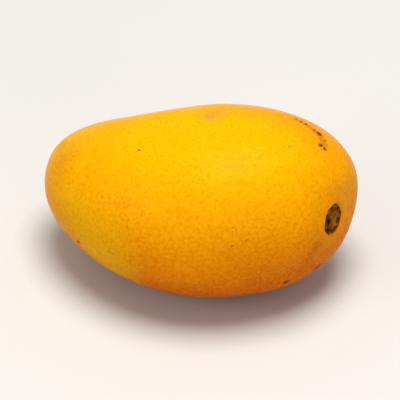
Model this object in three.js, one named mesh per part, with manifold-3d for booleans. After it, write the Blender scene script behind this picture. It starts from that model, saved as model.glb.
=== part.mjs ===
// A ripe yellow mango as picked, lying on its cheek, with the remnant of its stalk.
// Millimetres, +Z up. +X runs along the fruit towards its stem end and +Y across it towards the
// side with the beak. The fruit rests on the plane Z = 0, and the origin is below the middle of its box.

import * as THREE from 'three';
import { mergeVertices } from 'three/addons/utils/BufferGeometryUtils.js';
import Module from 'manifold-3d';

// Fruit: its main sizes, with its own axis along X
const LENGTH = 108;
const WIDTH = 76;
const THICKNESS = 65;

// Fruit: how it departs from a plain ellipsoid
const STEM_FULLNESS = 0.18; // how much stouter the stem half is than the apex half
const END_BLUNTNESS = 0.053; // rounds the two ends off more bluntly
const STEM_LEAN = 0.306; // the +Y shoulder reaches past the stem by this share of its distance
const APEX_LEAN = 0.129; // the same at the apex
const STEM_SHIFT = 3.36; // bend of the axis towards +Y at the stem
const APEX_SHIFT = 1.5; // bend of the axis towards +Y at the apex

// Fruit: local swellings and hollows. Each faces a direction given in degrees from the stem and
// around the axis, from +Y up towards +Z, and its spread is a share of the distance to the skin.
const SWELLINGS = {
  stemCavity: { fromStem: 0, around: 0, height: -1.9, spread: 0.18 },
  nearLip: { fromStem: 14, around: 180, height: 1.4, spread: 0.16 },
  farLip: { fromStem: 14, around: 0, height: -1.8, spread: 0.16 },
  beak: { fromStem: 159.5, around: 61.5, height: 2.1, spread: 0.25 },
  sinus: { fromStem: 115.5, around: 55.5, height: -2.05, spread: 0.238 },
  upperShoulder: { fromStem: 57, around: 53, height: 0.6, spread: 0.35 },
  lowerShoulder: { fromStem: 30, around: -84, height: 1.7, spread: 0.2 },
  nearShoulder: { fromStem: 39, around: -121, height: 1.2, spread: 0.145 },
};

// Fruit: rest pose and the number of facets
const REST_TILT = THREE.MathUtils.degToRad(5.7); // the stem end lifts until the weight is over the flat spot
const FLAT_DEPTH = 0.6;
const FACETS_AROUND = 60;
const FACETS_ALONG = 48;

// Stalk remnant: a crinkled corky collar around a short broken stub
const COLLAR_RADIUS = 5.3;
const COLLAR_RISE = 0.4; // above the skin
const COLLAR_CRINKLE = 0.05; // how far its edge runs in and out, as a share of the radius
const CRINKLES = [
  { count: 9, share: 0.7, phase: 0 },
  { count: 4, share: 0.3, phase: 1 },
];
const GROOVE_RADIUS = 4.0;
const GROOVE_RISE = 0.1;
const STUB_BASE_RADIUS = 3.3;
const STUB_END_RADIUS = 2.6;
const STUB_RISE = 1.3;
const STUB_DISH = 0.3; // hollow of the broken end
const EDGE_BEVEL = 0.3;
const STUB_SIDES = 36;

// Stem pit: holds the collar with a clear gap all round
const GAP = 0.3;
const PIT_RADIUS = COLLAR_RADIUS * (1 + COLLAR_CRINKLE) + GAP;
const PIT_DEPTH = 1.7;
const PIT_SIDES = 48;

const SKIN = new THREE.MeshStandardMaterial({ color: 0xf4a60d, roughness: 0.42, metalness: 0 });
const STALK = new THREE.MeshStandardMaterial({ color: 0x5c3d18, roughness: 0.85, metalness: 0 });

const wasm = await Module();
wasm.setup();

function toSolid(geometry) {
  const shell = geometry.clone();
  shell.deleteAttribute('normal');
  shell.deleteAttribute('uv');
  const merged = mergeVertices(shell);
  const mesh = new wasm.Mesh({
    numProp: 3,
    vertProperties: Float32Array.from(merged.attributes.position.array),
    triVerts: Uint32Array.from(merged.index.array),
  });
  return new wasm.Manifold(mesh);
}

function toGeometry(solid) {
  const { vertProperties, triVerts } = solid.getMesh();
  const geometry = new THREE.BufferGeometry();
  geometry.setAttribute('position', new THREE.BufferAttribute(vertProperties, 3));
  geometry.setIndex(new THREE.BufferAttribute(triVerts, 1));
  geometry.computeVertexNormals();
  return geometry;
}

// Moves every vertex of a geometry to where the rule puts it.
function reshape(geometry, rule) {
  const position = geometry.attributes.position;
  const vertex = new THREE.Vector3();
  for (let i = 0; i < position.count; i += 1) {
    const moved = rule(vertex.fromBufferAttribute(position, i));
    position.setXYZ(i, moved.x, moved.y, moved.z);
  }
  return geometry;
}

// Girth at a station along the axis, from -1 at the apex to 1 at the stem, before it is scaled.
function girthFactor(station) {
  const rim = Math.max(1 - station ** 2, Number.EPSILON);
  return (1 + STEM_FULLNESS * station) * rim ** (-END_BLUNTNESS / 2);
}

function widestGirth(steps = 400) {
  let widest = 0;
  for (let i = 1; i < steps; i += 1) {
    const station = -1 + (2 * i) / steps;
    widest = Math.max(widest, girthFactor(station) * Math.sqrt(1 - station ** 2));
  }
  return widest;
}

const WIDEST = widestGirth();

function directionAt(fromStem, around) {
  const polar = THREE.MathUtils.degToRad(fromStem);
  const turn = THREE.MathUtils.degToRad(around);
  const sideways = Math.sin(polar);
  return new THREE.Vector3(Math.cos(polar), sideways * Math.cos(turn), sideways * Math.sin(turn));
}

// The point of the skin that a unit direction from the middle of the fruit leads to.
function skinPoint(direction) {
  const girth = girthFactor(direction.x) / WIDEST;
  const across = (WIDTH / 2) * direction.y * girth;
  const up = (THICKNESS / 2) * direction.z * girth;
  const stemShare = (1 + direction.x) / 2;
  const apexShare = 1 - stemShare;
  const lean = STEM_LEAN * stemShare + APEX_LEAN * apexShare;
  const bend = STEM_SHIFT * stemShare ** 2 + APEX_SHIFT * apexShare ** 2;
  const point = new THREE.Vector3((LENGTH / 2) * direction.x + lean * across, across + bend, up);
  for (const { fromStem, around, height, spread } of Object.values(SWELLINGS)) {
    const peak = directionAt(fromStem, around);
    const nearness = Math.exp(-direction.distanceToSquared(peak) / (2 * spread ** 2));
    point.addScaledVector(direction, height * nearness);
  }
  return point;
}

// Seat of the stalk: where the axis leaves the skin, and which way it points there.
function stemSeat(step = 0.02) {
  const beside = (y, z) => skinPoint(new THREE.Vector3(1, y, z).normalize());
  const acrossY = beside(step, 0).sub(beside(-step, 0));
  const acrossZ = beside(0, step).sub(beside(0, -step));
  const outward = acrossY.cross(acrossZ).normalize();
  const turn = new THREE.Quaternion().setFromUnitVectors(new THREE.Vector3(0, 1, 0), outward);
  return new THREE.Matrix4().compose(beside(0, 0), turn, new THREE.Vector3(1, 1, 1));
}

function fruitGeometry() {
  const sphere = new THREE.SphereGeometry(1, FACETS_AROUND, FACETS_ALONG).rotateZ(-Math.PI / 2);
  return reshape(sphere, skinPoint);
}

function pitGeometry() {
  const reach = PIT_DEPTH + COLLAR_RADIUS;
  const pit = new THREE.CylinderGeometry(PIT_RADIUS, PIT_RADIUS, reach, PIT_SIDES);
  return pit.translate(0, reach / 2 - PIT_DEPTH, 0);
}

function stubGeometry() {
  const bottom = GAP - PIT_DEPTH;
  const profile = [
    [0, bottom],
    [COLLAR_RADIUS - EDGE_BEVEL, bottom],
    [COLLAR_RADIUS, bottom + EDGE_BEVEL],
    [COLLAR_RADIUS, COLLAR_RISE - EDGE_BEVEL],
    [COLLAR_RADIUS - EDGE_BEVEL, COLLAR_RISE],
    [GROOVE_RADIUS, GROOVE_RISE],
    [STUB_BASE_RADIUS, COLLAR_RISE],
    [STUB_END_RADIUS, STUB_RISE - EDGE_BEVEL],
    [STUB_END_RADIUS - EDGE_BEVEL, STUB_RISE],
    [0, STUB_RISE - STUB_DISH],
  ];
  const lathe = new THREE.LatheGeometry(profile.map(([r, y]) => new THREE.Vector2(r, y)), STUB_SIDES);
  return reshape(lathe, crinkled);
}

// The collar's edge runs in and out around the stub, which itself stays round.
function crinkled(vertex) {
  const radius = Math.hypot(vertex.x, vertex.z);
  const edgeShare = THREE.MathUtils.smoothstep(radius, STUB_BASE_RADIUS, COLLAR_RADIUS);
  const angle = Math.atan2(vertex.z, vertex.x);
  let wave = 0;
  for (const crinkle of CRINKLES) {
    wave += crinkle.share * Math.cos(crinkle.count * angle + crinkle.phase);
  }
  const stretch = 1 + COLLAR_CRINKLE * edgeShare * wave;
  return new THREE.Vector3(vertex.x * stretch, vertex.y, vertex.z * stretch);
}

// Ground that the fruit presses its flat spot against: its top is the plane Z = 0.
function groundGeometry() {
  return new THREE.BoxGeometry(LENGTH, WIDTH, THICKNESS).translate(0, 0, -THICKNESS / 2);
}

// Tilts the pieces to the rest pose and sets them down, sunk by the depth of the flat spot.
function settle(pieces) {
  const extent = new THREE.Box3();
  for (const piece of pieces) {
    piece.rotateY(-REST_TILT);
    piece.computeBoundingBox();
    extent.union(piece.boundingBox);
  }
  const middle = extent.getCenter(new THREE.Vector3());
  for (const piece of pieces) {
    piece.translate(-middle.x, -middle.y, -extent.min.z - FLAT_DEPTH);
  }
}

const seat = stemSeat();
const pit = toSolid(pitGeometry().applyMatrix4(seat));
const pitted = toGeometry(toSolid(fruitGeometry()).subtract(pit));
const stub = stubGeometry().applyMatrix4(seat);
settle([pitted, stub]);
const rested = toGeometry(toSolid(pitted).subtract(toSolid(groundGeometry())));

const fruit = new THREE.Mesh(rested, SKIN);
fruit.name = 'fruit';

const stemStub = new THREE.Mesh(stub, STALK);
stemStub.name = 'stem_stub';

const mango = new THREE.Group();
mango.name = 'mango';
mango.add(fruit, stemStub);

export default mango;
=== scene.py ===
import math
import random

import bmesh
import bpy
from mathutils import Matrix, Vector, noise
from mathutils.bvhtree import BVHTree


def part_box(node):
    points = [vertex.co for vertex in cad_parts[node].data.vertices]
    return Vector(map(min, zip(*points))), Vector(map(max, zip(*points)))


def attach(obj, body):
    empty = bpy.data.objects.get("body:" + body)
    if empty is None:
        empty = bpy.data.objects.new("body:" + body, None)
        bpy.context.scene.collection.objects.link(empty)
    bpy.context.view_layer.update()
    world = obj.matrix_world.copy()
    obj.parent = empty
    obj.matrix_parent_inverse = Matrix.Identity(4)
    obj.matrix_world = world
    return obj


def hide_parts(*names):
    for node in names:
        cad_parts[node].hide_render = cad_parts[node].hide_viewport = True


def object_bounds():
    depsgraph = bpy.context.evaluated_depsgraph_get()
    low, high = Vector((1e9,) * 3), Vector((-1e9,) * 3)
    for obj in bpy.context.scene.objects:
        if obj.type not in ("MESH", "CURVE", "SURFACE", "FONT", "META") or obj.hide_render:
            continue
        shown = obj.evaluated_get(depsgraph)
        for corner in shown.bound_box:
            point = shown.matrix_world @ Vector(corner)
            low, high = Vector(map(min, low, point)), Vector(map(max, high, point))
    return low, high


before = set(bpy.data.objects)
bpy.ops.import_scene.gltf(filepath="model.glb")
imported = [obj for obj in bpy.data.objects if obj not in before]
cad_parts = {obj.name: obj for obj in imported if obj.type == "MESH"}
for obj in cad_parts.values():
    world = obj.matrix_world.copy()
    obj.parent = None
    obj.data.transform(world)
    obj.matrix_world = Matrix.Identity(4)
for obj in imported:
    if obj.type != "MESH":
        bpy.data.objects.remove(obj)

cad_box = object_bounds()

# The fruit: skin, flesh and stone, grown as one piece. Its form is an oblique egg, stouter at the
# stem end, with a shallow hollow and a slight beak at the apex. The skin is thin, smooth and waxy,
# and the ripe fruit lies on a small flat spot on its lower cheek.

MM = 0.001
FRUIT_LENGTH = 108 * MM
FRUIT_WIDTH = 76 * MM
FRUIT_THICKNESS = 65 * MM
STEM_FULLNESS = 0.18
END_BLUNTNESS = 0.053
STEM_LEAN = 0.306
APEX_LEAN = 0.129
STEM_SHIFT = 3.36 * MM
APEX_SHIFT = 1.5 * MM
REST_TILT = math.radians(5.7)
FLAT_DEPTH = 0.6 * MM
RINGS = 240
SEGMENTS = 320
GIRTH_STEPS = 400  # stations along the axis at which the widest girth is looked for
NEVER_ZERO = 1e-9
FAR_OUT = 1.0  # well past the edge of the fruit

# Swellings and hollows: degrees from the stem, degrees around the axis, height, and spread.
SWELLINGS = {
    "stem cavity": (0, 0, -1.9 * MM, 0.18),
    "near lip": (14, 180, 1.4 * MM, 0.16),
    "far lip": (14, 0, -1.8 * MM, 0.16),
    "beak": (159.5, 61.5, 2.1 * MM, 0.25),
    "sinus": (115.5, 55.5, -2.05 * MM, 0.238),
    "upper shoulder": (57, 53, 0.6 * MM, 0.35),
    "lower shoulder": (30, -84, 1.7 * MM, 0.2),
    "near shoulder": (39, -121, 1.2 * MM, 0.145),
    "scar of the flower": (149.5, 104, -0.4 * MM, 0.03),
    "fold above the stem": (10.5, 54, -0.25 * MM, 0.04),
    "crease at the stem": (11.5, -147, -0.18 * MM, 0.04),
    "crease below it": (16.5, -146, -0.2 * MM, 0.045),
    "end of the crease": (22.5, -136, -0.15 * MM, 0.05),
}

# Relief of the skin: slow unevenness, a fine dimpling, and the puckered rim of the stem pit.
UNEVEN_SPACING = 26 * MM
UNEVEN_HEIGHT = 0.35 * MM
DIMPLE_SPACING = 4.5 * MM
DIMPLE_HEIGHT = 0.12 * MM
PIT_SINK = 1.0 * MM
PIT_EDGE = (4.6 * MM, 5.7 * MM)
RELIEF_FADE = (PIT_EDGE[0], 3 * PIT_EDGE[1])
RIM_RADIUS = 6.9 * MM
RIM_SPREAD = 1.3 * MM
RIM_HEIGHT = 0.35 * MM
FOLD_HEIGHT = 0.55 * MM
FOLD_SPREAD = 4.5 * MM
FOLDS_PER_TURN = 1.6


def node(tree, kind, inputs=None, **settings):
    """Adds a node with its settings, and fills its inputs with values or with links from other nodes."""
    made = tree.nodes.new(kind)
    for name, value in settings.items():
        setattr(made, name, value)
    for key, value in (inputs or {}).items():
        if isinstance(value, bpy.types.Node):
            value = value.outputs[0]
        if isinstance(value, bpy.types.NodeSocket):
            tree.links.new(value, made.inputs[key])
        else:
            made.inputs[key].default_value = value
    return made


def linear(hex_colour):
    """A colour written as sRGB hex, as the linear RGBA that shaders take."""
    parts = [int(hex_colour[i:i + 2], 16) / 255 for i in (1, 3, 5)]
    return (*(c / 12.92 if c <= 0.04045 else ((c + 0.055) / 1.055) ** 2.4 for c in parts), 1.0)


def plain_mesh(piece):
    """Puts the piece's modifiers into its mesh, so that nothing live is left on it."""
    graph = bpy.context.evaluated_depsgraph_get()
    mesh = bpy.data.meshes.new_from_object(piece.evaluated_get(graph), depsgraph=graph)
    piece.modifiers.clear()
    piece.data = mesh
    piece.data.name = piece.name


stem_low, stem_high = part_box("stem_stub")
stem_middle = (stem_low + stem_high) / 2

# Ripe mango skin: a thin waxy cuticle over yellow flesh, grown and not made. The eye sees a deep amber,
# close-set pale pores with darker dots among them, a green-yellow cast left near the apex, and a soft sheen.
# The colour is yellower on top and darker, more orange below, and that is painted shade of the underside.
# Colours by height, from the bottom up: the darker, more orange low stops are painted shade of the
# underside.
SKIN_WITH_PAINTED_UNDERSIDE_SHADE = (
    (6 * MM, "#AE4602"),
    (22 * MM, "#CE6802"),
    (32 * MM, "#E88602"),
    (42 * MM, "#EE9A02"),
    (60 * MM, "#F8B002"),
)
STEM_OLIVE = "#D88C06"
APEX_YELLOW = "#F6B804"
UNRIPE_GREEN = "#ECB804"
SUN_BLUSH = "#EE8A0C"
PALE_PORE = "#FFC81E"
DOT_SHADE = "#E0BC94"
RUSSET = "#C58A3A"
FLOWER_SCAR = "#B4860E"
# Brown stain along the scratch, and painted shade along the crease below the stem.
STAIN_AND_PAINTED_SHADE = "#CCB084"
FINE_SPECK = "#8A5208"

PATCH_SPACING = 30 * MM
PATCH_SHIFT = 22 * MM
PORE_SPACING = 2.0 * MM
DOT_SPACING = 2.6 * MM
SPECK_SPACING = 13 * MM
MOTTLE_SPACING = 1.1 * MM
GRAIN_SPACING = 0.6 * MM
SPOT_CORE = 0.3  # share of a spot's radius that has its full colour
PEEL_SHARE = 1.5  # how much the mottling and the pores weigh in the relief, against the grain
PEEL_DEPTH = 0.25 * MM
PEEL_STRENGTH = 0.34
SKIN_ROUGHNESS = (0.12, 0.34)

# Places on the skin that have a tint of their own, and the crease below the stem, whose darkening is painted
# shade. Each reach says where it is full and where gone.
STEM_TINT_REACH = (4 * MM, 14 * MM)
GREEN_PLACE = (-21 * MM, -34.5 * MM, 26.5 * MM)
GREEN_REACH = (3 * MM, 28 * MM)
BLUSH_PLACE = (26 * MM, 32 * MM, 50 * MM)
BLUSH_REACH = (6 * MM, 42 * MM)
APEX_PLACE = (-50 * MM, -8 * MM, 36 * MM)
APEX_REACH = (4 * MM, 40 * MM)
RUSSET_PLACE = (5 * MM, 5.8 * MM, 64 * MM)
RUSSET_REACH = (0.5 * MM, 6.5 * MM)
FLOWER_PLACE = (-48.5 * MM, -4.3 * MM, 40.6 * MM)
FLOWER_REACH = (0.5 * MM, 4.5 * MM)
BEAK_PLACE = (-44.5 * MM, -13 * MM, 41.5 * MM)
BEAK_REACH = (1 * MM, 13 * MM)
SCRATCHED_PATH = [Vector(point) * MM for point in (
    (30.5, 20.2, 60.1), (34.4, 19.8, 59.3), (37.8, 18.6, 58.7),
    (40.2, 18.2, 57.6), (43.2, 15.4, 57.0), (43.8, 12.8, 57.0))]
SCRATCHED_REACH = (0.3 * MM, 2.8 * MM)
# The crease below the stem, darkened along this path with painted shade.
PAINTED_SHADE_PATH = [Vector(point) * MM for point in (
    (51.5, -6.3, 31.8), (50.2, -9.8, 30.0), (47.8, -10.7, 24.9))]
PAINTED_SHADE_REACH = (0.3 * MM, 3.6 * MM)
PATH_STEPS = 3

# The sockets that a Mix node uses for colours.
MIX_FACTOR, MIX_A, MIX_B, MIX_RESULT = 0, 6, 7, 2

# The colours are a group of nodes of their own, because the scabs fade into them.
skin_colours = bpy.data.node_groups.new("mango_skin_colours", "ShaderNodeTree")
for name, kind in (
        ("Colour", "NodeSocketColor"),
        ("Mottle", "NodeSocketFloat"),
        ("Pores", "NodeSocketFloat")):
    skin_colours.interface.new_socket(name, in_out="OUTPUT", socket_type=kind)
where = node(skin_colours, "ShaderNodeTexCoord").outputs["Object"]
height = node(skin_colours, "ShaderNodeSeparateXYZ", {0: where}).outputs["Z"]

# Colour by height, which wanders up and down in broad patches: darker and more orange towards the bottom,
# which is painted shade of the underside.
patches = node(skin_colours, "ShaderNodeTexNoise",
               {"Vector": where, "Scale": 1 / PATCH_SPACING, "Detail": 3.0})
uneven_patch = node(skin_colours, "ShaderNodeMath", {0: patches, 1: 0.5}, operation="SUBTRACT")
shifted = node(skin_colours, "ShaderNodeMath", {0: uneven_patch, 1: PATCH_SHIFT, 2: height},
               operation="MULTIPLY_ADD")
(lowest, lowest_tint), *stops_between, (highest, highest_tint) = SKIN_WITH_PAINTED_UNDERSIDE_SHADE
level = node(skin_colours, "ShaderNodeMapRange",
             {"Value": shifted, "From Min": lowest, "From Max": highest})
painted_underside_shade = node(skin_colours, "ShaderNodeValToRGB", {"Fac": level})
stops = painted_underside_shade.color_ramp.elements
stops[0].color = linear(lowest_tint)
stops[-1].color = linear(highest_tint)
for stop_height, tint in stops_between:
    stop = stops.new((stop_height - lowest) / (highest - lowest))
    stop.color = linear(tint)
colour = painted_underside_shade.outputs["Color"]

# A tint along a path is a row of spots that overlap: a brown stain along the scratch, and painted shade
# along the crease below the stem.
path_tints = [
    (start.lerp(end, step / PATH_STEPS), reach, strength, "MULTIPLY", STAIN_AND_PAINTED_SHADE)
    for path, reach, strength in (
        (SCRATCHED_PATH, SCRATCHED_REACH, 0.24),
        (PAINTED_SHADE_PATH, PAINTED_SHADE_REACH, 0.16))
    for start, end in zip(path, path[1:])
    for step in range(PATH_STEPS)
]

# Tints that fade out from a place on the skin: place, reach, strength, blend, colour.
for place, reach, strength, blend, tint in (
        (stem_middle, STEM_TINT_REACH, 0.35, "MIX", STEM_OLIVE),
        (APEX_PLACE, APEX_REACH, 0.65, "MIX", APEX_YELLOW),
        (GREEN_PLACE, GREEN_REACH, 0.6, "MIX", UNRIPE_GREEN),
        (BLUSH_PLACE, BLUSH_REACH, 0.6, "MIX", SUN_BLUSH),
        (RUSSET_PLACE, RUSSET_REACH, 0.55, "MIX", RUSSET),
        (BEAK_PLACE, BEAK_REACH, 0.45, "MULTIPLY", DOT_SHADE),
        (FLOWER_PLACE, FLOWER_REACH, 0.4, "MIX", FLOWER_SCAR),
        *path_tints):
    full, gone = reach
    away = node(skin_colours, "ShaderNodeVectorMath", {0: where, 1: place}, operation="DISTANCE")
    wandering = node(skin_colours, "ShaderNodeMath",
                     {0: uneven_patch, 1: gone, 2: away.outputs["Value"]}, operation="MULTIPLY_ADD")
    near = node(skin_colours, "ShaderNodeMapRange",
                {"Value": wandering, "From Min": gone, "From Max": full, "To Max": strength},
                interpolation_type="SMOOTHSTEP")
    colour = node(skin_colours, "ShaderNodeMix", {MIX_FACTOR: near, MIX_A: colour, MIX_B: linear(tint)},
                  data_type="RGBA", blend_type=blend).outputs[MIX_RESULT]

# Soft mottling between the pores: where the noise starts to tint and where the tint is full, its
# strength low on the fruit and high on it, blend, colour.
mottle = node(skin_colours, "ShaderNodeTexNoise",
              {"Vector": where, "Scale": 1 / MOTTLE_SPACING, "Detail": 1.0})
for none, full, below, above, blend, tint in (
        (0.50, 0.70, 0.06, 0.20, "MIX", PALE_PORE),
        (0.50, 0.30, 0.45, 0.30, "MULTIPLY", DOT_SHADE)):
    strength = node(skin_colours, "ShaderNodeMapRange", {"Value": level, "To Min": below, "To Max": above})
    shape = node(skin_colours, "ShaderNodeMapRange",
                 {"Value": mottle, "From Min": none, "From Max": full, "To Max": strength})
    colour = node(skin_colours, "ShaderNodeMix", {MIX_FACTOR: shape, MIX_A: colour, MIX_B: linear(tint)},
                  data_type="RGBA", blend_type=blend).outputs[MIX_RESULT]

# Pores, dots and specks: spacing, radius as a share of the spacing, the share of places that are
# empty, strength low on the fruit and high on it, blend, colour. Pores are drawn larger than life so
# that they show.
pores = None
for spacing, radius, empty, below, above, blend, tint in (
        (PORE_SPACING, 0.40, 0.0, 0.06, 0.22, "MIX", PALE_PORE),
        (DOT_SPACING, 0.32, 0.2, 0.55, 0.25, "MULTIPLY", DOT_SHADE),
        (SPECK_SPACING, 0.045, 0.6, 0.6, 0.6, "MIX", FINE_SPECK)):
    spots = node(skin_colours, "ShaderNodeTexVoronoi", {"Vector": where, "Scale": 1 / spacing})
    chance = node(skin_colours, "ShaderNodeSeparateColor", {"Color": spots.outputs["Color"]}).outputs["Red"]
    present = node(skin_colours, "ShaderNodeMapRange", {"Value": chance, "From Min": empty, "From Max": 1.0})
    strength = node(skin_colours, "ShaderNodeMapRange", {"Value": level, "To Min": below, "To Max": above})
    shape = node(skin_colours, "ShaderNodeMapRange",
                 {"Value": spots.outputs["Distance"], "From Min": radius, "From Max": radius * SPOT_CORE,
                  "To Max": strength}, interpolation_type="SMOOTHSTEP")
    share = node(skin_colours, "ShaderNodeMath", {0: shape, 1: present}, operation="MULTIPLY")
    colour = node(skin_colours, "ShaderNodeMix", {MIX_FACTOR: share, MIX_A: colour, MIX_B: linear(tint)},
                  data_type="RGBA", blend_type=blend).outputs[MIX_RESULT]
    pores = pores or share
node(skin_colours, "NodeGroupOutput", {"Colour": colour, "Mottle": mottle, "Pores": pores})

skin = bpy.data.materials.new("waxy_mango_skin")
skin.use_nodes = True
shade = skin.node_tree
surface = shade.nodes["Principled BSDF"]
where = node(shade, "ShaderNodeTexCoord").outputs["Object"]
painted = node(shade, "ShaderNodeGroup", node_tree=skin_colours).outputs
grain = node(shade, "ShaderNodeTexNoise", {"Vector": where, "Scale": 1 / GRAIN_SPACING, "Detail": 2.0})
peel = node(shade, "ShaderNodeMath", {0: painted["Mottle"], 1: PEEL_SHARE, 2: grain},
            operation="MULTIPLY_ADD")
bumps = node(shade, "ShaderNodeMath", {0: painted["Pores"], 1: PEEL_SHARE, 2: peel},
             operation="MULTIPLY_ADD")
bump = node(shade, "ShaderNodeBump", {"Height": bumps, "Strength": PEEL_STRENGTH, "Distance": PEEL_DEPTH})
gloss = node(shade, "ShaderNodeMapRange",
             {"Value": painted["Mottle"], "To Min": SKIN_ROUGHNESS[0], "To Max": SKIN_ROUGHNESS[1]})
shade.links.new(painted["Colour"], surface.inputs["Base Color"])
shade.links.new(gloss.outputs[0], surface.inputs["Roughness"])
shade.links.new(bump.outputs[0], surface.inputs["Normal"])
surface.inputs["IOR"].default_value = 1.45
surface.inputs["Specular IOR Level"].default_value = 0.014
surface.inputs["Subsurface Weight"].default_value = 0.12
surface.inputs["Subsurface Radius"].default_value = (1.0, 0.4, 0.05)
surface.inputs["Subsurface Scale"].default_value = 2.0 * MM

# The form as a tree of nodes: a ball of directions is drawn out to the skin, given its relief,
# tilted to rest, and set into the box that the frame gives the fruit.
form = bpy.data.node_groups.new("mango_form", "GeometryNodeTree")
form.interface.new_socket("Geometry", in_out="OUTPUT", socket_type="NodeSocketGeometry")
fruit_low, fruit_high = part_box("fruit")
form_sizes = {
    "Length": ("NodeSocketFloat", FRUIT_LENGTH),
    "Width": ("NodeSocketFloat", FRUIT_WIDTH),
    "Thickness": ("NodeSocketFloat", FRUIT_THICKNESS),
    "Tilt": ("NodeSocketFloat", REST_TILT),
    "Box Low": ("NodeSocketVector", fruit_low - Vector((0, 0, FLAT_DEPTH))),
    "Box High": ("NodeSocketVector", fruit_high),
    "Rest Height": ("NodeSocketFloat", fruit_low.z),
}
form_sockets = {
    name: form.interface.new_socket(name, in_out="INPUT", socket_type=kind).identifier
    for name, (kind, value) in form_sizes.items()
}
size = node(form, "NodeGroupInput").outputs

ball = node(form, "GeometryNodeMeshUVSphere", {"Segments": SEGMENTS, "Rings": RINGS, "Radius": 1.0})
ball_place = node(form, "GeometryNodeInputPosition")
ball_axes = node(form, "ShaderNodeSeparateXYZ", {0: ball_place}).outputs
along, side, rise = ball_axes["Z"], ball_axes["X"], ball_axes["Y"]
direction = node(form, "ShaderNodeCombineXYZ", {"X": along, "Y": side, "Z": rise})

# Girth along the axis: an ellipse with blunter ends, stouter towards the stem.
squared = node(form, "ShaderNodeMath", {0: along, 1: along}, operation="MULTIPLY")
inside = node(form, "ShaderNodeMath", {0: 1.0, 1: squared}, operation="SUBTRACT")
rim = node(form, "ShaderNodeMath", {0: inside, 1: NEVER_ZERO}, operation="MAXIMUM")
blunt = node(form, "ShaderNodeMath", {0: rim, 1: -END_BLUNTNESS / 2}, operation="POWER")
fullness = node(form, "ShaderNodeMath", {0: along, 1: STEM_FULLNESS, 2: 1.0}, operation="MULTIPLY_ADD")
girth = node(form, "ShaderNodeMath", {0: blunt, 1: fullness}, operation="MULTIPLY")
stations = [2 * i / GIRTH_STEPS - 1 for i in range(1, GIRTH_STEPS)]
widest = max((1 + STEM_FULLNESS * s) * (1 - s * s) ** (0.5 - END_BLUNTNESS / 2) for s in stations)
half_girth = node(form, "ShaderNodeMath", {0: girth, 1: 0.5 / widest}, operation="MULTIPLY")
sideways = node(form, "ShaderNodeMath", {0: side, 1: half_girth}, operation="MULTIPLY")
across = node(form, "ShaderNodeMath", {0: sideways, 1: size["Width"]}, operation="MULTIPLY")
upwards = node(form, "ShaderNodeMath", {0: rise, 1: half_girth}, operation="MULTIPLY")
up = node(form, "ShaderNodeMath", {0: upwards, 1: size["Thickness"]}, operation="MULTIPLY")

# The oblique ends: each section leans along the axis, and the axis itself bends sideways.
stem_share = node(form, "ShaderNodeMath", {0: along, 1: 0.5, 2: 0.5}, operation="MULTIPLY_ADD")
apex_share = node(form, "ShaderNodeMath", {0: 1.0, 1: stem_share}, operation="SUBTRACT")
lean = node(form, "ShaderNodeMath", {0: stem_share, 1: STEM_LEAN - APEX_LEAN, 2: APEX_LEAN},
            operation="MULTIPLY_ADD")
leaning = node(form, "ShaderNodeMath", {0: lean, 1: across}, operation="MULTIPLY")
half_length = node(form, "ShaderNodeMath", {0: size["Length"], 1: 0.5}, operation="MULTIPLY")
forward = node(form, "ShaderNodeMath", {0: along, 1: half_length, 2: leaning}, operation="MULTIPLY_ADD")
stem_square = node(form, "ShaderNodeMath", {0: stem_share, 1: 2.0}, operation="POWER")
apex_square = node(form, "ShaderNodeMath", {0: apex_share, 1: 2.0}, operation="POWER")
stem_bend = node(form, "ShaderNodeMath", {0: stem_square, 1: STEM_SHIFT, 2: across},
                 operation="MULTIPLY_ADD")
bent = node(form, "ShaderNodeMath", {0: apex_square, 1: APEX_SHIFT, 2: stem_bend},
            operation="MULTIPLY_ADD")
body = node(form, "ShaderNodeCombineXYZ", {"X": forward, "Y": bent, "Z": up})

# Swellings and hollows, each a smooth bell around its own direction.
swell = 0.0
for from_stem, around, swell_height, spread in SWELLINGS.values():
    polar, turn = math.radians(from_stem), math.radians(around)
    peak = (math.cos(polar), math.sin(polar) * math.cos(turn), math.sin(polar) * math.sin(turn))
    away = node(form, "ShaderNodeVectorMath", {0: direction, 1: peak}, operation="DISTANCE")
    away_square = node(form, "ShaderNodeMath", {0: away.outputs["Value"], 1: 2.0}, operation="POWER")
    fall = node(form, "ShaderNodeMath", {0: away_square, 1: -0.5 / spread ** 2}, operation="MULTIPLY")
    near = node(form, "ShaderNodeMath", {0: fall}, operation="EXPONENT")
    swell = node(form, "ShaderNodeMath", {0: near, 1: swell_height, 2: swell}, operation="MULTIPLY_ADD")
swollen = node(form, "ShaderNodeVectorMath", {0: direction, "Scale": swell}, operation="SCALE")
skin_place = node(form, "ShaderNodeVectorMath", {0: body, 1: swollen}, operation="ADD")

# The ring around the stem is read from the ball's own sides, so the folds run straight out from it.
ring = node(form, "ShaderNodeCombineXYZ", {"X": side, "Y": rise})
ring_place = node(form, "ShaderNodeVectorMath", {0: ring}, operation="NORMALIZE")
remember = node(form, "GeometryNodeStoreNamedAttribute",
                {"Geometry": ball, "Name": "around_stem", "Value": ring_place}, data_type="FLOAT_VECTOR")
drawn = node(form, "GeometryNodeSetPosition", {"Geometry": remember, "Position": skin_place})

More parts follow.
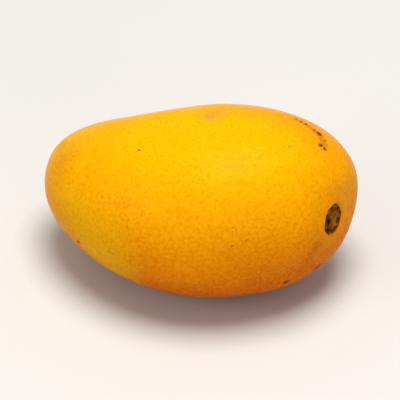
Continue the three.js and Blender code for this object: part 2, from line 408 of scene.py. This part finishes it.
# Relief along the normals: unevenness and dimples, which fade out towards the stem, then the pit
# that the stalk sits in, and the folds and the rolled rim around it.
place = node(form, "GeometryNodeInputPosition")
normal = node(form, "GeometryNodeInputNormal")
uneven = node(form, "ShaderNodeTexNoise", {"Vector": place, "Scale": 1 / UNEVEN_SPACING, "Detail": 1.0})
dimpled = node(form, "ShaderNodeTexNoise", {"Vector": place, "Scale": 1 / DIMPLE_SPACING, "Detail": 2.0})
stem_seat = (FRUIT_LENGTH / 2 + SWELLINGS["stem cavity"][2], STEM_SHIFT, 0.0)
seat_away = node(form, "ShaderNodeVectorMath", {0: place, 1: stem_seat}, operation="DISTANCE")
from_seat = seat_away.outputs["Value"]
clear_of_pit = node(form, "ShaderNodeMapRange",
                    {"Value": from_seat, "From Min": RELIEF_FADE[0], "From Max": RELIEF_FADE[1]})
uneven_low = node(form, "ShaderNodeMath", {0: uneven, 1: -UNEVEN_HEIGHT}, operation="MULTIPLY")
dimple_low = node(form, "ShaderNodeMath", {0: dimpled, 1: -DIMPLE_HEIGHT, 2: uneven_low},
                  operation="MULTIPLY_ADD")
skin_relief = node(form, "ShaderNodeMath", {0: dimple_low, 1: clear_of_pit}, operation="MULTIPLY")
pit = node(form, "ShaderNodeMapRange",
           {"Value": from_seat, "From Min": PIT_EDGE[1], "From Max": PIT_EDGE[0], "To Max": -PIT_SINK},
           interpolation_type="SMOOTHSTEP")
pitted = node(form, "ShaderNodeMath", {0: skin_relief, 1: pit}, operation="ADD")
stem_ring = node(form, "GeometryNodeInputNamedAttribute", {"Name": "around_stem"}, data_type="FLOAT_VECTOR")
fold_noise = node(form, "ShaderNodeTexNoise", {"Vector": stem_ring, "Scale": FOLDS_PER_TURN, "Detail": 1.0})
folds = node(form, "ShaderNodeMath", {0: fold_noise, 1: FOLD_HEIGHT, 2: -0.5 * FOLD_HEIGHT},
             operation="MULTIPLY_ADD")
past_rim = node(form, "ShaderNodeMath", {0: from_seat, 1: RIM_RADIUS}, operation="SUBTRACT")
past_square = node(form, "ShaderNodeMath", {0: past_rim, 1: 2.0}, operation="POWER")
for height_field, spread in ((folds, FOLD_SPREAD), (RIM_HEIGHT, RIM_SPREAD)):
    fall = node(form, "ShaderNodeMath", {0: past_square, 1: -0.5 / spread ** 2}, operation="MULTIPLY")
    near = node(form, "ShaderNodeMath", {0: fall}, operation="EXPONENT")
    pitted = node(form, "ShaderNodeMath", {0: near, 1: height_field, 2: pitted}, operation="MULTIPLY_ADD")
raised = node(form, "ShaderNodeVectorMath", {0: normal, "Scale": pitted}, operation="SCALE")
embossed = node(form, "GeometryNodeSetPosition", {"Geometry": drawn, "Offset": raised})

# The rest pose: tilted, fitted to the frame's box, and flat where it meets the ground.
lift = node(form, "ShaderNodeMath", {0: size["Tilt"], 1: -1.0}, operation="MULTIPLY")
tilted_place = node(form, "ShaderNodeVectorRotate", {"Vector": place, "Angle": lift}, rotation_type="Y_AXIS")
tilted = node(form, "GeometryNodeSetPosition", {"Geometry": embossed, "Position": tilted_place})
own_box = node(form, "GeometryNodeBoundBox", {0: tilted}).outputs
own_size = node(form, "ShaderNodeVectorMath", {0: own_box["Max"], 1: own_box["Min"]}, operation="SUBTRACT")
frame_size = node(form, "ShaderNodeVectorMath", {0: size["Box High"], 1: size["Box Low"]},
                  operation="SUBTRACT")
stretch = node(form, "ShaderNodeVectorMath", {0: frame_size, 1: own_size}, operation="DIVIDE")
from_corner = node(form, "ShaderNodeVectorMath", {0: place, 1: own_box["Min"]}, operation="SUBTRACT")
boxed = node(form, "ShaderNodeVectorMath", {0: from_corner, 1: stretch, 2: size["Box Low"]},
             operation="MULTIPLY_ADD")
floor_low = node(form, "ShaderNodeCombineXYZ", {"X": -FAR_OUT, "Y": -FAR_OUT, "Z": size["Rest Height"]})
flattened = node(form, "ShaderNodeVectorMath", {0: boxed, 1: floor_low}, operation="MAXIMUM")
rested = node(form, "GeometryNodeSetPosition", {"Geometry": tilted, "Position": flattened})
smooth = node(form, "GeometryNodeSetShadeSmooth", {"Geometry": rested})
real = node(form, "GeometryNodeRealizeInstances", {"Geometry": smooth})
coloured = node(form, "GeometryNodeSetMaterial", {"Geometry": real, "Material": skin})
node(form, "NodeGroupOutput", {"Geometry": coloured})

fruit = bpy.data.objects.new("mango_fruit", bpy.data.meshes.new("mango_fruit"))
bpy.context.scene.collection.objects.link(fruit)
grown = fruit.modifiers.new("form", "NODES")
grown.node_group = form
for name, (kind, value) in form_sizes.items():
    grown[form_sockets[name]] = value
plain_mesh(fruit)
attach(fruit, "root")
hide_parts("fruit")

# The stalk remnant: a dry woody stub, broken off short, in a dark crinkled ring of cork that grew
# where the stalk let go. It sits in the stem pit, and its axis leans with the stem end.

COLLAR_RADIUS = 5.3 * MM
COLLAR_RISE = 0.45 * MM
COLLAR_DEPTH = 1.4 * MM
GROOVE_RADIUS = 4.0 * MM
STUB_BASE_RADIUS = 3.3 * MM
STUB_END_RADIUS = 2.6 * MM
STUB_RISE = 1.1 * MM
STUB_DISH = 0.35 * MM
STUB_SIDES = 40
EDGE_ROUNDING = 0.3 * MM
CRINKLE_SPACING = 1.5 * MM
COLLAR_CRINKLE = 0.36 * MM
STUB_FLUTE = 0.22 * MM
BREAK_HEIGHT = 0.3 * MM
FLUTES_AROUND = 2.2
FLUTE_SLICE, CHIP_SLICE = 7.0, 3.0  # where the flutes and the chips are cut from the noise

CORK_CREVICE = "#3A1A04"
CORK_CREST = "#8A4A08"
STUB_SIDE = "#7C5208"
STUB_BASE = "#843F04"
END_OLIVE = "#8E6408"
END_BROWN = "#A25806"
PITH = "#3A1E08"
# Near-black spot on the near side of the stub: painted shadow of a deep gap in the ring.
PAINTED_GAP_SHADOW = "#120802"
PAINTED_GAP_SHADOW_REACH = (0.5 * MM, 1.9 * MM)
PAINTED_GAP_SHADOW_RISE = 1.2 * MM
FIBRES_AROUND = 9.0
FIBRE_LENGTH = 8 * MM
GRIT_SPACING = 0.5 * MM
BLOTCH_SPACING = 2.4 * MM

# Dry stalk and cork: weathered wood fibre, broken and not cut. The eye sees a dark crinkled ring, an
# olive-brown side with upright fibres, and a rough brown end, all matt. A near-black spot on the stub's near
# side is painted shadow of a deep gap in the ring.
stalk_wood = bpy.data.materials.new("dry_stalk_and_cork")
stalk_wood.use_nodes = True
shade = stalk_wood.node_tree
surface = shade.nodes["Principled BSDF"]
where = node(shade, "ShaderNodeTexCoord").outputs["Object"]
from_axis = node(shade, "ShaderNodeAttribute", attribute_name="from_axis").outputs["Fac"]
above_skin = node(shade, "ShaderNodeAttribute", attribute_name="above_skin").outputs["Fac"]
crest = node(shade, "ShaderNodeAttribute", attribute_name="crest").outputs["Fac"]
around_axis = node(shade, "ShaderNodeAttribute", attribute_name="around_axis").outputs["Vector"]
fibre = node(shade, "ShaderNodeTexNoise", {"Vector": around_axis, "Scale": FIBRES_AROUND, "Detail": 4.0})
grit = node(shade, "ShaderNodeTexNoise", {"Vector": where, "Scale": 1 / GRIT_SPACING, "Detail": 4.0})
blotch = node(shade, "ShaderNodeTexNoise", {"Vector": where, "Scale": 1 / BLOTCH_SPACING, "Detail": 2.0})
cork_tone = node(shade, "ShaderNodeMapRange", {"Value": crest, "From Min": -0.35, "From Max": 0.4})
cork = node(shade, "ShaderNodeMix",
            {MIX_FACTOR: cork_tone, MIX_A: linear(CORK_CREVICE), MIX_B: linear(CORK_CREST)},
            data_type="RGBA").outputs[MIX_RESULT]
up_side = node(shade, "ShaderNodeMapRange",
               {"Value": above_skin, "From Min": 0.2 * STUB_RISE, "From Max": 0.6 * STUB_RISE})
side_wood = node(shade, "ShaderNodeMix",
                 {MIX_FACTOR: up_side, MIX_A: linear(STUB_BASE), MIX_B: linear(STUB_SIDE)},
                 data_type="RGBA").outputs[MIX_RESULT]
stub_height = node(shade, "ShaderNodeSeparateXYZ", {0: where}).outputs["Z"]
low_end = node(shade, "ShaderNodeMapRange",
               {"Value": stub_height, "From Min": stem_middle.z + STUB_BASE_RADIUS / 2,
                "From Max": stem_middle.z - STUB_BASE_RADIUS / 2})
fresh_end = node(shade, "ShaderNodeMix",
                 {MIX_FACTOR: low_end, MIX_A: linear(END_OLIVE), MIX_B: linear(END_BROWN)},
                 data_type="RGBA").outputs[MIX_RESULT]
end_tone = node(shade, "ShaderNodeMapRange", {"Value": blotch, "From Min": 0.36, "From Max": 0.5})
end_wood = node(shade, "ShaderNodeMix", {MIX_FACTOR: end_tone, MIX_A: linear(PITH), MIX_B: fresh_end},
                data_type="RGBA").outputs[MIX_RESULT]
on_end = node(shade, "ShaderNodeMapRange",
              {"Value": from_axis, "From Min": STUB_END_RADIUS, "From Max": STUB_END_RADIUS - EDGE_ROUNDING})
stub_wood = node(shade, "ShaderNodeMix", {MIX_FACTOR: on_end, MIX_A: side_wood, MIX_B: end_wood},
                 data_type="RGBA").outputs[MIX_RESULT]
on_collar = node(shade, "ShaderNodeMapRange",
                 {"Value": from_axis, "From Min": STUB_BASE_RADIUS, "From Max": GROOVE_RADIUS})
wood = node(shade, "ShaderNodeMix", {MIX_FACTOR: on_collar, MIX_A: stub_wood, MIX_B: cork},
            data_type="RGBA").outputs[MIX_RESULT]
# Painted shadow of a deep gap in the ring, laid as a near-black spot on the stub's near side.
gap_shadow_place = (stem_middle.x, stem_middle.y - STUB_BASE_RADIUS, stem_middle.z + PAINTED_GAP_SHADOW_RISE)
from_gap_shadow = node(shade, "ShaderNodeVectorMath", {0: where, 1: gap_shadow_place}, operation="DISTANCE")
in_gap_shadow = node(shade, "ShaderNodeMapRange",
               {"Value": from_gap_shadow.outputs["Value"], "From Min": PAINTED_GAP_SHADOW_REACH[1], "From Max": PAINTED_GAP_SHADOW_REACH[0],
                "To Max": 0.9})
gap_shaded_wood = node(shade, "ShaderNodeMix", {MIX_FACTOR: in_gap_shadow, MIX_A: wood, MIX_B: linear(PAINTED_GAP_SHADOW)},
              data_type="RGBA").outputs[MIX_RESULT]
streaks = node(shade, "ShaderNodeMapRange",
               {"Value": fibre, "From Min": 0.3, "From Max": 0.7, "To Min": 0.6, "To Max": 1.25})
worn = node(shade, "ShaderNodeVectorMath", {0: gap_shaded_wood, "Scale": streaks}, operation="SCALE")
bump = node(shade, "ShaderNodeBump", {"Height": grit, "Strength": 0.6, "Distance": 0.25 * MM})
shade.links.new(worn.outputs[0], surface.inputs["Base Color"])
shade.links.new(bump.outputs[0], surface.inputs["Normal"])
surface.inputs["Roughness"].default_value = 0.85
surface.inputs["Specular IOR Level"].default_value = 0.05

# The collar and the stub are turned from one profile, about the normal at the fruit's stem pole.
axis = fruit.data.vertices[0].normal.copy()
stem_pole = fruit.data.vertices[0].co
seat = Matrix.Translation(stem_pole + axis * PIT_SINK) @ axis.to_track_quat("Z", "Y").to_matrix().to_4x4()
profile = [
    (0.0, -COLLAR_DEPTH),
    (COLLAR_RADIUS - EDGE_ROUNDING, -COLLAR_DEPTH),
    (COLLAR_RADIUS, -COLLAR_DEPTH + EDGE_ROUNDING),
    (COLLAR_RADIUS, 0.0),
    (COLLAR_RADIUS - EDGE_ROUNDING, COLLAR_RISE),
    ((COLLAR_RADIUS + GROOVE_RADIUS) / 2, COLLAR_RISE),
    (GROOVE_RADIUS, 0.0),
    (STUB_BASE_RADIUS, 0.0),
    (STUB_BASE_RADIUS - EDGE_ROUNDING / 2, COLLAR_RISE),
    (STUB_END_RADIUS, STUB_RISE - EDGE_ROUNDING),
    (STUB_END_RADIUS - EDGE_ROUNDING, STUB_RISE),
    (STUB_END_RADIUS / 2, STUB_RISE - STUB_DISH),
    (0.0, STUB_RISE - STUB_DISH),
]
stub_form = bmesh.new()
turns = [2 * math.pi * i / STUB_SIDES for i in range(STUB_SIDES)]
rings = [
    [stub_form.verts.new((r * math.cos(turn), r * math.sin(turn), z)) for turn in turns]
    for r, z in profile[1:-1]
]
for lower, upper in zip(rings, rings[1:]):
    for i in range(STUB_SIDES):
        stub_form.faces.new((lower[i - 1], lower[i], upper[i], upper[i - 1]))
bottom, top = (stub_form.verts.new((0, 0, z)) for z in (profile[0][1], profile[-1][1]))
for i in range(STUB_SIDES):
    stub_form.faces.new((rings[0][i], rings[0][i - 1], bottom))
    stub_form.faces.new((rings[-1][i - 1], rings[-1][i], top))
stub = bpy.data.objects.new("mango_stem_stub", bpy.data.meshes.new("mango_stem_stub"))
bpy.context.scene.collection.objects.link(stub)
stub_form.to_mesh(stub.data)
stub_form.free()
rounding = stub.modifiers.new("rounding", "SUBSURF")
rounding.levels = rounding.render_levels = 2
plain_mesh(stub)

# Crinkles in the collar, flutes along the stub and an uneven break, with what the colours read.
for name, kind in (
        ("from_axis", "FLOAT"),
        ("above_skin", "FLOAT"),
        ("crest", "FLOAT"),
        ("around_axis", "FLOAT_VECTOR")):
    stub.data.attributes.new(name, kind, "POINT")
reads = stub.data.attributes
placed = []
for vertex in stub.data.vertices:
    radius = vertex.co.xy.length
    outward = vertex.co.xy.normalized() if radius > 0 else Vector((0, 0))
    collar_share = min(max((radius - STUB_BASE_RADIUS) / (GROOVE_RADIUS - STUB_BASE_RADIUS), 0.0), 1.0)
    crinkle = noise.noise(vertex.co / CRINKLE_SPACING)
    flute = noise.noise(Vector((*outward * FLUTES_AROUND, FLUTE_SLICE)))
    chip = noise.noise(Vector((*vertex.co.xy / CRINKLE_SPACING, CHIP_SLICE)))
    reads["from_axis"].data[vertex.index].value = radius
    reads["above_skin"].data[vertex.index].value = vertex.co.z
    reads["crest"].data[vertex.index].value = crinkle
    reads["around_axis"].data[vertex.index].vector = (*outward, vertex.co.z / FIBRE_LENGTH)
    end_share = min(max(vertex.co.z / STUB_RISE, 0.0), 1.0) * (1 - collar_share)
    moved = vertex.co + vertex.normal * crinkle * COLLAR_CRINKLE * collar_share
    moved += Vector((*outward * flute * STUB_FLUTE * end_share, chip * BREAK_HEIGHT * end_share))
    placed.append(moved)
for vertex, moved in zip(stub.data.vertices, placed):
    vertex.co = moved
stub.data.transform(seat)
stub.data.shade_smooth()
stub.data.materials.append(stalk_wood)
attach(stub, "root")
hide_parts("stem_stub")

# Scabs on the skin: small corky marks where twigs and insects scratched the young fruit. They have
# grown into the skin, less than a tenth of a millimetre proud, and fade into it from a dark middle.

# Each scab is laid from tip to tip, in millimetres, with its width and its darkness.
SCABS = [
    ((39.8, 20.0, 57.2), (40.0, 16.9, 58.3), 2.8, 0.8),
    ((37.7, 19.6, 58.4), (37.9, 17.6, 59.0), 1.5, 0.45),
    ((34.1, 21.2, 58.8), (34.8, 18.4, 59.9), 1.3, 0.6),
    ((32.3, 20.8, 59.5), (32.9, 18.4, 60.4), 1.2, 0.45),
    ((30.2, 21.6, 59.5), (30.9, 18.9, 60.7), 1.2, 0.35),
    ((42.7, 17.8, 56.4), (42.6, 16.4, 57.0), 1.3, 0.4),
    ((42.5, 13.9, 57.6), (42.8, 11.9, 57.6), 1.8, 0.8),
    ((43.4, 13.7, 57.0), (44.8, 12.4, 56.2), 1.9, 0.7),
    ((34.3, 2.8, 61.9), (35.6, 3.4, 61.4), 1.5, 0.25),
    ((41.0, -15.9, 17.2), (43.2, -13.7, 17.9), 2.8, 0.8),
    ((47.3, -5.4, 16.0), (50.7, -2.3, 20.0), 2.4, 0.75),
    ((-13.3, -15.2, 58.1), (-11.8, -15.5, 58.5), 1.1, 0.6),
    ((-28.7, -31.0, 24.6), (-30.4, -29.4, 21.9), 1.4, 0.55),
    ((31.4, -26.6, 41.6), (32.4, -25.7, 41.8), 1.0, 0.32),
    ((27.3, -29.7, 40.1), (28.5, -28.8, 40.4), 1.0, 0.32),
    ((-16.5, -36.2, 28.2), (-10.7, -37.4, 28.3), 0.8, 0.25),
]
SCAB_THICKNESS = 0.12 * MM
SCAB_FADE = 1.4  # how far the scab reaches past its dark middle
SCAB_RAGGED = 1.3 * MM
TEAR_SPACING = 1.0 * MM
CRUMB_SPACING = 0.6 * MM
CRUMB_SHARE = 0.9  # how far the crumbs fray the edge of the colours
STRAY_SCABS = 26
STRAY_SEED = 7
STRAY_LENGTH = (0.4 * MM, 0.9 * MM)
STRAY_SLIMNESS = (0.5, 0.9)
STRAY_DARKNESS = (0.1, 0.4)
CLEAR_OF_BOX = 1.2 * MM

SCAB_CORE = "#4A200A"
SCAB_HALO = "#B4620A"

# Corky scab: dried skin tissue, rough and matt. The eye sees a dark brown middle that fades through
# tan into the amber around it.
scab_cork = bpy.data.materials.new("corky_scab")
scab_cork.use_nodes = True
shade = scab_cork.node_tree
surface = shade.nodes["Principled BSDF"]
where = node(shade, "ShaderNodeTexCoord").outputs["Object"]
from_middle = node(shade, "ShaderNodeAttribute", attribute_name="from_middle").outputs["Fac"]
darkness = node(shade, "ShaderNodeAttribute", attribute_name="darkness").outputs["Fac"]
crumb = node(shade, "ShaderNodeTexNoise", {"Vector": where, "Scale": 1 / CRUMB_SPACING, "Detail": 3.0})
ragged = node(shade, "ShaderNodeMath", {0: crumb, 1: CRUMB_SHARE, 2: from_middle}, operation="MULTIPLY_ADD")
scab_colour = node(shade, "ShaderNodeGroup", node_tree=skin_colours).outputs["Colour"]

# The halo and the dark middle: where each starts and where it is full, on the frayed radius.
for outer, inner, tint in ((1.2, 0.95, SCAB_HALO), (1.12, 0.8, SCAB_CORE)):
    inside = node(shade, "ShaderNodeMapRange", {"Value": ragged, "From Min": outer, "From Max": inner},
                  interpolation_type="SMOOTHSTEP")
    share = node(shade, "ShaderNodeMath", {0: inside, 1: darkness}, operation="MULTIPLY")
    scab_colour = node(shade, "ShaderNodeMix", {MIX_FACTOR: share, MIX_A: scab_colour, MIX_B: linear(tint)},
                       data_type="RGBA").outputs[MIX_RESULT]
bump = node(shade, "ShaderNodeBump", {"Height": crumb, "Strength": 0.3, "Distance": 0.1 * MM})
shade.links.new(scab_colour, surface.inputs["Base Color"])
shade.links.new(bump.outputs[0], surface.inputs["Normal"])
surface.inputs["Roughness"].default_value = 0.75
surface.inputs["Specular IOR Level"].default_value = 0.15

# Stray scabs, scattered over the whole skin and kept clear of the faces of the frame's box.
skin_tree = BVHTree.FromObject(fruit, bpy.context.evaluated_depsgraph_get())
dice = random.Random(STRAY_SEED)
middle = (fruit_low + fruit_high) / 2
laid = [(Vector(start) * MM, Vector(end) * MM, width * MM, dark) for start, end, width, dark in SCABS]
while len(laid) < len(SCABS) + STRAY_SCABS:
    outward = Vector([dice.gauss(0, 1) for _ in range(3)]).normalized()
    spot = skin_tree.ray_cast(middle, outward)[0]
    turn = Vector([dice.gauss(0, 1) for _ in range(3)]).normalized()
    length = dice.uniform(*STRAY_LENGTH)
    width = length * dice.uniform(*STRAY_SLIMNESS)
    dark = dice.uniform(*STRAY_DARKNESS)
    if all(low + CLEAR_OF_BOX < at < high - CLEAR_OF_BOX
           for low, at, high in zip(fruit_low, spot, fruit_high)):
        laid.append((spot - turn * length / 2, spot + turn * length / 2, width, dark))

scab_points = bpy.data.meshes.new("mango_scabs")
skin_spots = [skin_tree.find_nearest((start + end) / 2) for start, end, width, dark in laid]
scab_points.from_pydata([spot[0] for spot in skin_spots], [], [])
for name, kind in (
        ("facing", "FLOAT_VECTOR"),
        ("along", "FLOAT_VECTOR"),
        ("extent", "FLOAT_VECTOR"),
        ("darkness", "FLOAT")):
    scab_points.attributes.new(name, kind, "POINT")
reads = scab_points.attributes
for i, ((start, end, width, dark), spot) in enumerate(zip(laid, skin_spots)):
    reads["facing"].data[i].vector = spot[1]
    reads["along"].data[i].vector = (end - start).normalized()
    length = (end - start).length
    reads["extent"].data[i].vector = (SCAB_FADE * length / 2, SCAB_FADE * width / 2, SCAB_THICKNESS / 2)
    reads["darkness"].data[i].value = dark

scabbing = bpy.data.node_groups.new("scabs_on_skin", "GeometryNodeTree")
scabbing.interface.new_socket("Geometry", in_out="INPUT", socket_type="NodeSocketGeometry")
scabbing.interface.new_socket("Geometry", in_out="OUTPUT", socket_type="NodeSocketGeometry")
scab_inputs = {
    "Ragged": ("NodeSocketFloat", SCAB_RAGGED),
    "Thickness": ("NodeSocketFloat", SCAB_THICKNESS),
    "Skin": ("NodeSocketObject", fruit),
}
scab_sockets = {
    name: scabbing.interface.new_socket(name, in_out="INPUT", socket_type=kind).identifier
    for name, (kind, value) in scab_inputs.items()
}
given = node(scabbing, "NodeGroupInput").outputs

# A round button is laid at every point, turned along its scab, stretched to its extent and frayed.
button = node(scabbing, "GeometryNodeMeshIcoSphere", {"Radius": 1.0, "Subdivisions": 3})
button_place = node(scabbing, "GeometryNodeInputPosition")
flat_place = node(scabbing, "ShaderNodeVectorMath", {0: button_place, 1: (1, 1, 0)}, operation="MULTIPLY")
button_radius = node(scabbing, "ShaderNodeVectorMath", {0: flat_place}, operation="LENGTH").outputs["Value"]
button_rise = node(scabbing, "ShaderNodeSeparateXYZ", {0: button_place}).outputs["Z"]
marked = button
for name, value in (("from_middle", button_radius), ("rise", button_rise)):
    marked = node(scabbing, "GeometryNodeStoreNamedAttribute",
                  {"Geometry": marked, "Name": name, "Value": value})
facing = node(scabbing, "GeometryNodeInputNamedAttribute", {"Name": "facing"}, data_type="FLOAT_VECTOR")
along = node(scabbing, "GeometryNodeInputNamedAttribute", {"Name": "along"}, data_type="FLOAT_VECTOR")
extent = node(scabbing, "GeometryNodeInputNamedAttribute", {"Name": "extent"}, data_type="FLOAT_VECTOR")
turned = node(scabbing, "FunctionNodeAxesToRotation", {0: facing, 1: along},
              primary_axis="Z", secondary_axis="X")
buttons = node(scabbing, "GeometryNodeInstanceOnPoints",
               {"Points": given["Geometry"], "Instance": marked, "Rotation": turned, "Scale": extent})
real = node(scabbing, "GeometryNodeRealizeInstances", {"Geometry": buttons})
scab_place = node(scabbing, "GeometryNodeInputPosition")
tear = node(scabbing, "ShaderNodeTexNoise", {"Vector": scab_place, "Scale": 1 / TEAR_SPACING})
centred = node(scabbing, "ShaderNodeVectorMath", {0: tear.outputs["Color"], 1: (0.5, 0.5, 0.5)},
               operation="SUBTRACT")
torn = node(scabbing, "ShaderNodeVectorMath", {0: centred, "Scale": given["Ragged"]}, operation="SCALE")
off_skin = node(scabbing, "ShaderNodeVectorMath", {0: torn, 1: facing}, operation="PROJECT")
along_skin = node(scabbing, "ShaderNodeVectorMath", {0: torn, 1: off_skin}, operation="SUBTRACT")
ragged_edge = node(scabbing, "GeometryNodeSetPosition", {"Geometry": real, "Offset": along_skin})

# Each scab is drawn down onto the skin and sunk by half its height, so that its edge runs out flat.
skin_form = node(scabbing, "GeometryNodeObjectInfo", {"Object": given["Skin"]}).outputs["Geometry"]
on_skin = node(scabbing, "GeometryNodeProximity", {"Geometry": skin_form, "Sample Position": scab_place},
               target_element="FACES").outputs["Position"]
rise = node(scabbing, "GeometryNodeInputNamedAttribute", {"Name": "rise"})
sunk = node(scabbing, "ShaderNodeMath", {0: rise, 1: 0.5}, operation="SUBTRACT")
proud = node(scabbing, "ShaderNodeMath", {0: sunk, 1: given["Thickness"]}, operation="MULTIPLY")
lifted = node(scabbing, "ShaderNodeVectorMath", {0: facing, "Scale": proud}, operation="SCALE")
grown_on = node(scabbing, "ShaderNodeVectorMath", {0: on_skin, 1: lifted}, operation="ADD")
seated = node(scabbing, "GeometryNodeSetPosition", {"Geometry": ragged_edge, "Position": grown_on})
smooth = node(scabbing, "GeometryNodeSetShadeSmooth", {"Geometry": seated})
coloured = node(scabbing, "GeometryNodeSetMaterial", {"Geometry": smooth, "Material": scab_cork})
node(scabbing, "NodeGroupOutput", {"Geometry": coloured})

scabs = bpy.data.objects.new("mango_scabs", scab_points)
bpy.context.scene.collection.objects.link(scabs)
grown = scabs.modifiers.new("scabs", "NODES")
grown.node_group = scabbing
for name, (kind, value) in scab_inputs.items():
    grown[scab_sockets[name]] = value
plain_mesh(scabs)
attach(scabs, "root")

# The studio: a plain pale floor under soft light from above, and a long lens that looks down on
# the fruit from the near side, with the stem to the right.

FLOOR_REACH = 4.0
PAPER_WHITE = "#DEDBD5"

floor = bpy.data.objects.new("floor", bpy.data.meshes.new("floor"))
bpy.context.scene.collection.objects.link(floor)
sheet = bmesh.new()
bmesh.ops.create_grid(sheet, x_segments=1, y_segments=1, size=FLOOR_REACH)
sheet.to_mesh(floor.data)
sheet.free()

# Pale studio paper: uncoated, off the roll. The eye sees a plain warm white, matt all over.
paper = bpy.data.materials.new("pale_studio_paper")
paper.use_nodes = True
surface = paper.node_tree.nodes["Principled BSDF"]
surface.inputs["Base Color"].default_value = linear(PAPER_WHITE)
surface.inputs["Roughness"].default_value = 0.9
floor.data.materials.append(paper)

CAMERA_AZIMUTH = math.radians(23.9)
CAMERA_ELEVATION = math.radians(39.1)
CAMERA_DISTANCE = 870 * MM
FRAME_WIDTH = 140 * MM
FRAME_RIGHT = 3.0 * MM
FRAME_DOWN = 2.6 * MM

back = Vector((math.sin(CAMERA_AZIMUTH) * math.cos(CAMERA_ELEVATION),
               -math.cos(CAMERA_AZIMUTH) * math.cos(CAMERA_ELEVATION),
               math.sin(CAMERA_ELEVATION)))
facing = (-back).to_track_quat("-Z", "Y")
middle = (cad_box[0] + cad_box[1]) / 2
target = middle + facing @ Vector((FRAME_RIGHT, -FRAME_DOWN, 0))
camera = bpy.data.objects.new("camera", bpy.data.cameras.new("camera"))
bpy.context.scene.collection.objects.link(camera)
camera.rotation_mode = "QUATERNION"
camera.rotation_quaternion = facing
camera.location = target + back * CAMERA_DISTANCE
camera.data.lens = camera.data.sensor_width * CAMERA_DISTANCE / FRAME_WIDTH
bpy.context.scene.camera = camera

# Round softboxes: place and width in metres, power in watts.
for name, place, width, power in (
        ("overhead_softbox", (0.10, 0.0, 1.20), 0.7, 13.6),
        ("left_softbox", (-0.90, -1.00, 0.60), 0.8, 4.0),
        ("right_softbox", (1.00, -0.80, 0.25), 0.8, 2.6)):
    light = bpy.data.objects.new(name, bpy.data.lights.new(name, "AREA"))
    bpy.context.scene.collection.objects.link(light)
    light.data.shape = "DISK"
    light.data.size = width
    light.data.energy = power
    light.location = place
    light.rotation_euler = (middle - Vector(place)).to_track_quat("-Z", "Y").to_euler()

STUDIO_GLOW = 0.32
studio = bpy.data.worlds.new("white_studio")
studio.use_nodes = True
backdrop = studio.node_tree.nodes["Background"]
backdrop.inputs["Color"].default_value = (1, 1, 1, 1)
backdrop.inputs["Strength"].default_value = STUDIO_GLOW
bpy.context.scene.world = studio
bpy.context.scene.view_settings.view_transform = "Standard"
